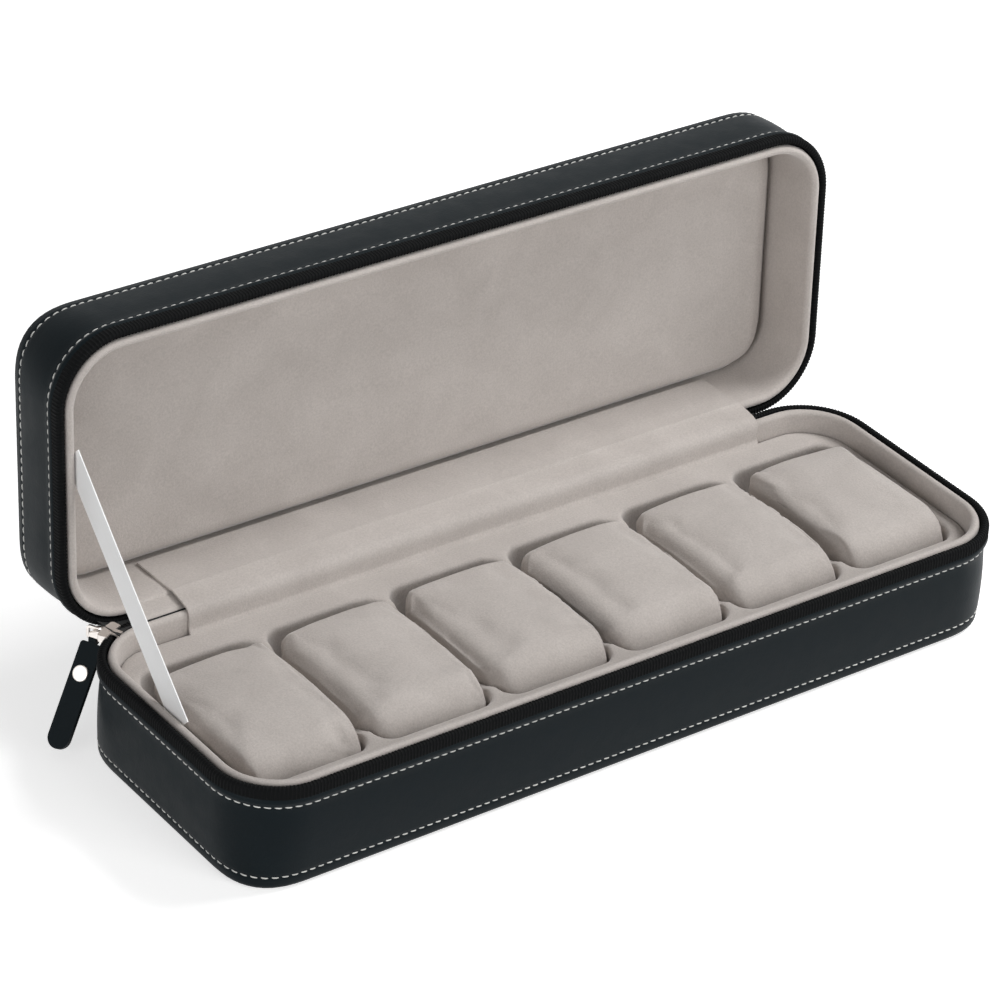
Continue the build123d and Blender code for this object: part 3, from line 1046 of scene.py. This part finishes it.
class WATCHCASE_OT_pillows(bpy.types.Operator):
    """Velvet pillows, crowned and rounded to the front, and the foam inside them"""

    bl_idname = "watchcase.pillows"
    bl_label = "Pillows"

    def execute(self, context):
        inside = Vector((1, 1, 1)) * FOAM_INSET
        for number in PILLOWS:
            low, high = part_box(f"pillow_{number}_cover")
            high = high + Vector((0, 0, PILLOW_RISE))
            pillow = mesh_piece(f"velvet_pillow_{number}", pillow_rings(low, high), "grey_velvet")
            fill_pillow(pillow, number)
            foam = mesh_piece(
                f"foam_block_{number}", pillow_rings(low + inside, high - inside), "pillow_foam",
            )
            for piece, node, slot, fill in (
                (pillow, "cover", "grey_velvet", 0.85), (foam, "core", "pillow_foam", 1.0),
            ):
                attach(piece, f"pillow_{number}")
                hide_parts(f"pillow_{number}_{node}")
        return {"FINISHED"}


PANEL_STEP = 3 * MM
PANEL_CROWN_REACH = 14 * MM
PANEL_LUMP = 0.35 * MM


def rounded_grid(half_length, half_width, radius, step):
    """Rows of a grid whose border follows a rounded rectangle."""
    columns, rows = round(2 * half_length / step), round(2 * half_width / step)
    grid = []
    for row in range(rows + 1):
        line = []
        for column in range(columns + 1):
            x = half_length * (2 * column / columns - 1)
            y = half_width * (2 * row / rows - 1)
            s = max(0.0, (abs(x) - half_length + radius) / radius)
            t = max(0.0, (abs(y) - half_width + radius) / radius)
            if s > 0 and t > 0:
                x = math.copysign(half_length - radius + radius * s * math.sqrt(1 - t * t / 2), x)
                y = math.copysign(half_width - radius + radius * t * math.sqrt(1 - s * s / 2), y)
            line.append((x, y))
        grid.append(line)
    return grid


def edge_distance(x, y, half_length, half_width, radius):
    """Distance inwards from a rounded rectangle's outline."""
    dx, dy = abs(x) - half_length + radius, abs(y) - half_width + radius
    outside = math.hypot(max(dx, 0.0), max(dy, 0.0))
    return radius - outside - min(max(dx, dy), 0.0)


class WATCHCASE_OT_lid_panel(bpy.types.Operator):
    """Padded velvet panel in the lid"""

    bl_idname = "watchcase.lid_panel"
    bl_label = "Lid panel"

    def execute(self, context):
        half_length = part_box("lid_padded_panel")[1].x
        inset = HALF_LENGTH - half_length
        half_width, radius = HALF_WIDTH - inset, CORNER_RADIUS - inset
        face, back = (height - RIM for height in closed_heights("lid_padded_panel"))
        edge = sizes().panel_edge
        mesh = bpy.data.meshes.new("lid_velvet_panel")
        work = bmesh.new()
        grid = rounded_grid(half_length, half_width, radius, PANEL_STEP)
        tops = []
        for line in grid:
            top = []
            for x, y in line:
                inside = max(0.0, edge_distance(x, y, half_length, half_width, radius))
                corner = max(0.0, 1 - inside / edge)
                fall = edge * (1 - math.sqrt(max(0.0, 1 - corner ** 2)))
                crown = sizes().panel_crown * (1 - math.exp(-inside / PANEL_CROWN_REACH))
                lump = PANEL_LUMP * noise.noise(Vector((x * 16, y * 22, 0.3))) * min(1.0, inside / edge)
                top.append(work.verts.new(LID.place(x, y, face + fall - crown * 0.6 - lump)))
            tops.append(top)
        for one, two in zip(tops, tops[1:]):
            for column in range(len(one) - 1):
                work.faces.new((one[column], one[column + 1], two[column + 1], two[column]))
        border = [side for side in work.edges if side.is_boundary]
        made = bmesh.ops.extrude_edge_only(work, edges=border)["geom"]
        lower = [item for item in made if isinstance(item, bmesh.types.BMVert)]
        for vertex in lower:
            flat = CLOSE_LID @ vertex.co
            vertex.co = OPEN_LID @ Vector((flat.x, flat.y, RIM + back))
        bmesh.ops.holes_fill(work, edges=[side for side in work.edges if side.is_boundary])
        bmesh.ops.recalc_face_normals(work, faces=work.faces)
        work.to_mesh(mesh)
        work.free()
        panel = add_piece("lid_velvet_panel", mesh, "grey_velvet")
        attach(panel, "lid")
        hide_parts("lid_padded_panel")
        return {"FINISHED"}


def bent_line(points, radius, step):
    """A line through points in a plane, with its corners rounded, as even short steps."""
    line = [Vector(points[0])]
    for before, corner, after in zip(points, points[1:], points[2:]):
        corner, one, two = Vector(corner), Vector(before) - Vector(corner), Vector(after) - Vector(corner)
        reach = min(radius / math.tan(one.angle(two) / 2), 0.45 * one.length, 0.45 * two.length)
        start, end = corner + one.normalized() * reach, corner + two.normalized() * reach
        line += [
            start * (1 - share) ** 2 + corner * 2 * share * (1 - share) + end * share ** 2
            for share in (0.0, 0.25, 0.5, 0.75, 1.0)
        ]
    line.append(Vector(points[-1]))
    even = []
    for one, two in zip(line, line[1:]):
        parts = max(1, round((two - one).length / step))
        even += [one.lerp(two, part / parts) for part in range(parts)]
    return [*even, line[-1]]


def strip_rings(line, thickness, low_x, high_x, columns, wave=lambda x, share: 0.0):
    """Rings along a cloth strip that hangs on a line in Y and Z, from low_x to high_x."""
    rings = []
    for column in range(columns + 1):
        x = low_x + (high_x - low_x) * column / columns
        upper, lower = [], []
        for number, point in enumerate(line):
            before, after = line[max(number - 1, 0)], line[min(number + 1, len(line) - 1)]
            way = (after - before).normalized()
            normal = Vector((way.y, -way.x))
            rise = wave(x, number / (len(line) - 1))
            upper.append((x, *(point + normal * (thickness / 2 + rise))))
            lower.append((x, *(point + normal * (rise - thickness / 2))))
        rings.append([*upper, *reversed(lower)])
    return rings


FLAP_FOOT = 1.2 * MM
FLAP_THICKNESS = 0.8 * MM
FLAP_TUCK = 0.45 * MM
FLAP_OVER_BASE = 0.7 * MM
FLAP_OVER_LID = 0.5 * MM
FLAP_TO_PANEL = 0.3 * MM
FLAP_BEND = 4 * MM
FLAP_STEP = 1.2 * MM
FLAP_COLUMNS = 90


class WATCHCASE_OT_flap(bpy.types.Operator):
    """Velvet flap from the tray over the hinge to the lid's panel"""

    bl_idname = "watchcase.flap"
    bl_label = "Hinge flap"

    def execute(self, context):
        low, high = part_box("hinge_velvet_flap")
        reach = low.y + FLAP_THICKNESS / 2
        panel_face = closed_heights("lid_padded_panel")[0] - RIM
        points = [
            (reach - FLAP_FOOT, TRAY_TOP + TRAY_RISE - FLAP_TUCK),
            (reach, TRAY_TOP + TRAY_RISE + FLAP_FOOT),
            (reach, RIM + FLAP_OVER_BASE),
            tuple(LID.place(0, reach, FLAP_OVER_LID).yz),
            tuple(LID.place(0, reach, panel_face - FLAP_TO_PANEL).yz),
        ]
        line = bent_line(points, FLAP_BEND, FLAP_STEP)
        amplitude = sizes().flap_wave

        def wave(x, share):
            loose = math.sin(math.pi * share) ** 0.7
            slow = noise.noise(Vector((x * 14, share * 2.2, 4.0)))
            ridge = noise.noise(Vector((x * 3, share * 7.0, 9.0)))
            return amplitude * loose * (slow + 0.8 * ridge)

        rings = strip_rings(line, FLAP_THICKNESS, low.x, high.x, FLAP_COLUMNS, wave)
        flap = mesh_piece("velvet_hinge_flap", rings, "grey_velvet")
        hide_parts("hinge_velvet_flap")
        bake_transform(flap)
        return {"FINISHED"}


HINGE_STRIP_LEFT = -133 * MM
HINGE_STRIP_RIGHT = 126 * MM
HINGE_LINE = 1.5 * MM
STRIP_THICKNESS = 0.7 * MM
STRIP_STEP = 0.8 * MM
STRIP_COLUMNS = 60


class WATCHCASE_OT_hinge_strips(bpy.types.Operator):
    """Velvet strip that closes the hinge gap behind the flap, and the black tape under its edge"""

    bl_idname = "watchcase.hinge_strips"
    bl_label = "Hinge strips"

    def execute(self, context):
        lining_back = HALF_WIDTH - LINING_OUTER
        lid_back = lining_back - 1.0 * MM
        lid_edge = LID.place(0, lid_back, 0.2 * MM)
        behind = lining_back + HINGE_LINE + 0.4 * MM
        velvet_line = bent_line(
            [
                (behind, RIM - 3.0 * MM),
                (behind, RIM),
                tuple(lid_edge.yz),
                tuple(LID.place(0, lid_back, 1.4 * MM).yz),
            ],
            1.5 * MM, STRIP_STEP,
        )
        tape_line = bent_line(
            [
                (lining_back + 0.5 * MM, RIM - 4.0 * MM),
                (lining_back + 0.5 * MM, RIM - 1.0 * MM),
                (lining_back + 2.2 * MM, RIM - 1.0 * MM),
                tuple((lid_edge - Vector((0, 0, 2.0 * MM))).yz),
            ],
            1.0 * MM, STRIP_STEP,
        )
        for name, line, finish in (
            ("hinge_lining", velvet_line, "grey_velvet"), ("hinge_tape", tape_line, "zip_tape"),
        ):
            rings = strip_rings(
                line, STRIP_THICKNESS, HINGE_STRIP_LEFT, HINGE_STRIP_RIGHT, STRIP_COLUMNS,
            )
            strip = mesh_piece(name, rings, finish)
            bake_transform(strip)
        return {"FINISHED"}


SPINE_COLUMNS = 64


class WATCHCASE_OT_spine(bpy.types.Operator):
    """Leatherette spine behind the hinge"""

    bl_idname = "watchcase.spine"
    bl_label = "Spine"

    def execute(self, context):
        low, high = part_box("spine_leather")
        thickness = sizes().leather
        start = (HALF_WIDTH - thickness / 2, RIM - LEATHER_EDGE - 0.2 * MM)
        end = LID.place(0, HALF_WIDTH - thickness / 2, LEATHER_EDGE + 0.2 * MM).yz
        points = [
            start,
            (start[0] + 0.4 * MM, start[1] + 0.75 * MM),
            (end[0] - 0.9 * MM, end[1] + 0.1 * MM),
            end,
        ]
        line = bent_line(points, 2 * MM, STRIP_STEP)
        rings = strip_rings(line, thickness, low.x, high.x, SPINE_COLUMNS)
        spine = mesh_piece("leather_spine", rings, "black_leatherette")
        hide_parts("spine_leather")
        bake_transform(spine)
        return {"FINISHED"}


RIBBON_THICKNESS = 0.4 * MM
RIBBON_CUP = 0.15 * MM
RIBBON_RIPPLE = 0.12 * MM
RIBBON_ROWS = 40
RIBBON_CELLS = 6


class WATCHCASE_OT_ribbon(bpy.types.Operator):
    """Satin ribbon that stops the lid"""

    bl_idname = "watchcase.ribbon"
    bl_label = "Ribbon stay"

    def execute(self, context):
        node = frame["nodes"]["stay_ribbon"]
        corners = [vertex.co.copy() for vertex in node.data.vertices]
        side = (min(point.x for point in corners) + max(point.x for point in corners)) / 2
        low_pair = sorted({point.yz.copy().freeze() for point in corners}, key=lambda point: point.y)
        start = (low_pair[0] + low_pair[1]) / 2
        end = (low_pair[-1] + low_pair[-2]) / 2
        width = (low_pair[1] - low_pair[0]).length
        along = end - start
        across = Vector((-along.y, along.x)).normalized() * width / 2
        rings = []
        for row in range(RIBBON_ROWS + 1):
            share = row / RIBBON_ROWS
            centre = start.lerp(end, share)
            cup = RIBBON_CUP * math.sin(math.pi * share)
            face, back = [], []
            for cell in range(RIBBON_CELLS + 1):
                place = 2 * cell / RIBBON_CELLS - 1
                y, z = centre + across * place
                x = side + cup * (1 - place ** 2) + RIBBON_RIPPLE * math.sin(5 * share + 2 * place)
                face.append((x + RIBBON_THICKNESS / 2, y, z))
                back.append((x - RIBBON_THICKNESS / 2, y, z))
            rings.append([*face, *reversed(back)])
        ribbon = mesh_piece("satin_stay", rings, "satin_ribbon")
        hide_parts("stay_ribbon")
        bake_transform(ribbon)
        return {"FINISHED"}


class WATCHCASE_OT_slider(bpy.types.Operator):
    """Nickel slider and link, and the leather pull with its rivet"""

    bl_idname = "watchcase.slider"
    bl_label = "Slider and pull"

    def execute(self, context):
        for node in ("zip_slider_body", "pull_link", "tab_rivet"):
            dress_node(node, "nickel_plate")
        dress_node("pull_tab", "black_leatherette")
        return {"FINISHED"}


BOARDS = ("base_wall_board", "base_bottom_board", "lid_wall_board", "lid_top_board", "lid_panel_card")


class WATCHCASE_OT_hidden_pieces(bpy.types.Operator):
    """Boards and card inside the walls and the panel"""

    bl_idname = "watchcase.hidden_pieces"
    bl_label = "Hidden pieces"

    def execute(self, context):
        for node in BOARDS:
            dress_node(node, "grey_board")
        return {"FINISHED"}


# Stage

CAMERA_TARGET = Vector((-28.09, 0.0, 82.77)) * MM
CAMERA_DISTANCE = 1487.94 * MM
CAMERA_AZIMUTH = math.radians(-38.21)
CAMERA_ELEVATION = math.radians(31.77)
CAMERA_ROLL = math.radians(4.13)
CAMERA_LENS = 160.67
SENSOR_WIDTH = 36.0
FLOOR_SIZE = 3.0
FLOOR_GLOW = 0.6
WORLD_LIGHT = 0.15
LAMP_TARGET = (0.0, 0.0, 0.06)
# Each lamp: its name, place and side in metres, and its power in watts
LAMPS = (
    ("key", (1.0, -0.2, 1.3), 0.6, 18.0),
    ("fill", (-1.6, -0.6, 0.5), 1.2, 11.0),
    ("front", (0.4, -1.7, 0.7), 1.0, 12.5),
)


def studio_lamp(name, location, size, energy):
    """A soft square lamp that looks at the case."""
    lamp = bpy.data.lights.new(name, "AREA")
    lamp.size = size
    lamp.energy = energy
    obj = bpy.data.objects.new(name, lamp)
    obj.location = location
    obj.rotation_euler = (Vector(LAMP_TARGET) - Vector(location)).to_track_quat("-Z", "Y").to_euler()
    bpy.context.scene.collection.objects.link(obj)


def seen_directly(owner):
    """1 where the camera or a reflection looks, 0 where light only bounces."""
    rays = add_node(owner, "ShaderNodeLightPath")
    seen = add_node(
        owner, "ShaderNodeMath",
        {0: rays.outputs["Is Camera Ray"], 1: rays.outputs["Is Glossy Ray"]}, operation="MAXIMUM",
    )
    return seen.outputs["Value"]


def paper_white():
    """White paper floor: it takes the case's shadow, and reads white to the camera and in gloss."""
    material, shader = new_material("white paper")
    grain = add_node(material, "ShaderNodeTexNoise", {"Scale": 900.0, "Detail": 2.0})
    rise = add_node(material, "ShaderNodeBump", {"Height": grain.outputs["Fac"], "Strength": 0.02})
    lift = add_node(
        material, "ShaderNodeMath", {0: seen_directly(material), 1: FLOOR_GLOW}, operation="MULTIPLY",
    )
    feed(
        material, shader, Normal=rise.outputs["Normal"], Emission_Strength=lift.outputs["Value"],
        Base_Color=rgba(colours().floor), Emission_Color=(1.0, 1.0, 1.0, 1.0), Roughness=0.9,
        Specular_IOR_Level=0.0,
    )
    return material


def white_world():
    """Even pale surroundings, white where the camera or a reflection sees them."""
    world = bpy.data.worlds.new("studio")
    world.use_nodes = True
    level = add_node(
        world, "ShaderNodeMapRange", {"Value": seen_directly(world), "To Min": WORLD_LIGHT, "To Max": 1.0},
    )
    feed(
        world, world.node_tree.nodes["Background"], Color=rgba((1.0, 1.0, 1.0)),
        Strength=level.outputs["Result"],
    )
    bpy.context.scene.world = world


class WATCHCASE_OT_stage(bpy.types.Operator):
    """White floor, soft lamps and the camera"""

    bl_idname = "watchcase.stage"
    bl_label = "Stage"

    def execute(self, context):
        scene = context.scene
        corners = [
            (-FLOOR_SIZE / 2, -FLOOR_SIZE / 2, 0), (FLOOR_SIZE / 2, -FLOOR_SIZE / 2, 0),
            (FLOOR_SIZE / 2, FLOOR_SIZE / 2, 0), (-FLOOR_SIZE / 2, FLOOR_SIZE / 2, 0),
        ]
        mesh = bpy.data.meshes.new("floor")
        mesh.from_pydata(corners, [], [(0, 1, 2, 3)])
        mesh.materials.append(paper_white())
        floor = bpy.data.objects.new("floor", mesh)
        scene.collection.objects.link(floor)
        white_world()
        for name, location, size, energy in LAMPS:
            studio_lamp(name, location, size, energy)
        back = Vector((
            math.sin(CAMERA_AZIMUTH) * math.cos(CAMERA_ELEVATION),
            -math.cos(CAMERA_AZIMUTH) * math.cos(CAMERA_ELEVATION),
            math.sin(CAMERA_ELEVATION),
        ))
        camera = bpy.data.cameras.new("camera")
        camera.lens = CAMERA_LENS
        camera.sensor_width = SENSOR_WIDTH
        obj = bpy.data.objects.new("camera", camera)
        side = Vector((0, 0, 1)).cross(back).normalized()
        up = back.cross(side)
        turned = side * math.cos(CAMERA_ROLL) + up * math.sin(CAMERA_ROLL)
        raised = up * math.cos(CAMERA_ROLL) - side * math.sin(CAMERA_ROLL)
        axes = Matrix((turned, raised, back)).transposed().to_4x4()
        obj.matrix_world = Matrix.Translation(CAMERA_TARGET + back * CAMERA_DISTANCE) @ axes
        scene.collection.objects.link(obj)
        scene.camera = obj
        scene.view_settings.view_transform = "Standard"
        return {"FINISHED"}


OPERATORS = (
    WATCHCASE_OT_leather_skins,
    WATCHCASE_OT_stitches,
    WATCHCASE_OT_zip,
    WATCHCASE_OT_zip_ends,
    WATCHCASE_OT_wall_linings,
    WATCHCASE_OT_tray,
    WATCHCASE_OT_pillows,
    WATCHCASE_OT_lid_panel,
    WATCHCASE_OT_flap,
    WATCHCASE_OT_hinge_strips,
    WATCHCASE_OT_spine,
    WATCHCASE_OT_ribbon,
    WATCHCASE_OT_slider,
    WATCHCASE_OT_hidden_pieces,
    WATCHCASE_OT_stage,
)


class WATCHCASE_PT_panel(bpy.types.Panel):
    """Lists the sizes, colours and pieces"""

    bl_label = "Watch Case"
    bl_space_type = "VIEW_3D"
    bl_region_type = "UI"
    bl_category = "Watch Case"

    def draw(self, context):
        column = self.layout.column()
        for group in (context.scene.watch_case_sizes, context.scene.watch_case_colours):
            for name in group.__annotations__:
                column.prop(group, name)
        for operator in OPERATORS:
            column.operator(operator.bl_idname)


CLASSES = (WatchCaseSizes, WatchCaseColours, *OPERATORS, WATCHCASE_PT_panel)


def register():
    for item in CLASSES:
        bpy.utils.register_class(item)
    bpy.types.Scene.watch_case_sizes = PointerProperty(type=WatchCaseSizes)
    bpy.types.Scene.watch_case_colours = PointerProperty(type=WatchCaseColours)


def unregister():
    del bpy.types.Scene.watch_case_colours
    del bpy.types.Scene.watch_case_sizes
    for item in reversed(CLASSES):
        bpy.utils.unregister_class(item)


def main():
    """Register everything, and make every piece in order."""
    register()
    for operator in OPERATORS:
        group, name = operator.bl_idname.split(".")
        getattr(getattr(bpy.ops, group), name)()


if __name__ == "__main__":
    main()
